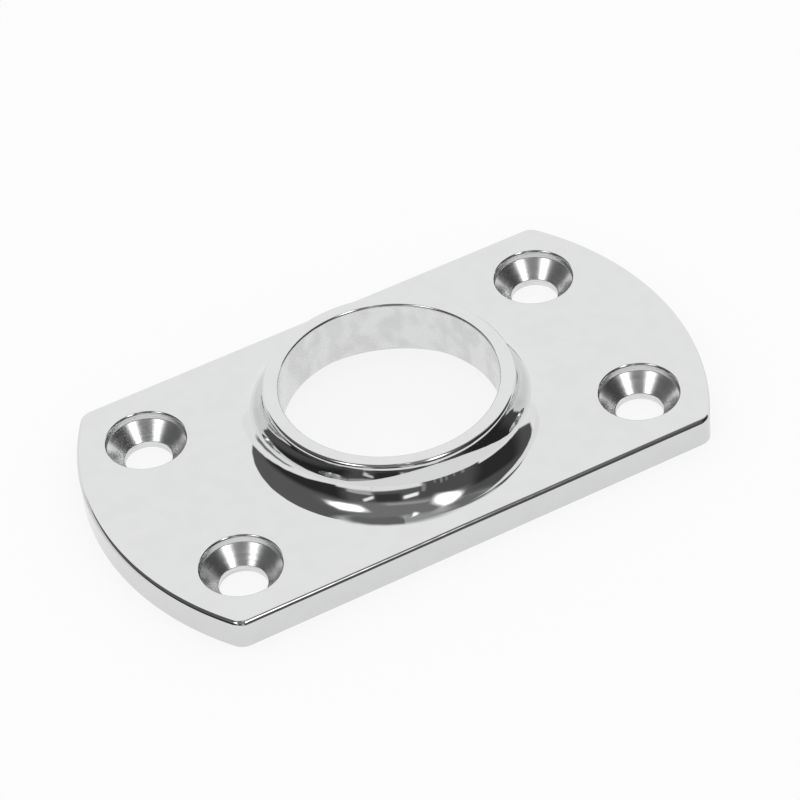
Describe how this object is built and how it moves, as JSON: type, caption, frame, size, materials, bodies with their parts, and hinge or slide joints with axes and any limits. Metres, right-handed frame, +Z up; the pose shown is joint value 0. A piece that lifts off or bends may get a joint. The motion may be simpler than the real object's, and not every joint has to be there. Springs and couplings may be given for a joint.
{
  "type": "rectangular tube base flange",
  "caption": "Rectangular base flange for a round tube: a polished plate with crowned ends, a collar that sweeps into the plate in a hollow cove, a plain bore and countersunk screw holes.",
  "frame": {"origin": "on the bore's axis, at the underside of the plate", "axes": "+X along the plate's length, +Y across it, +Z up the bore, the way the tube leaves"},
  "size_m": [0.074, 0.041, 0.0096],
  "materials": {
    "polished_steel": "stainless steel, mirror polished outside, as turned inside the bore and the screw holes"
  },
  "bodies": {
    "root": {"base_flange": "polished_steel"}
  },
  "joints": []
}
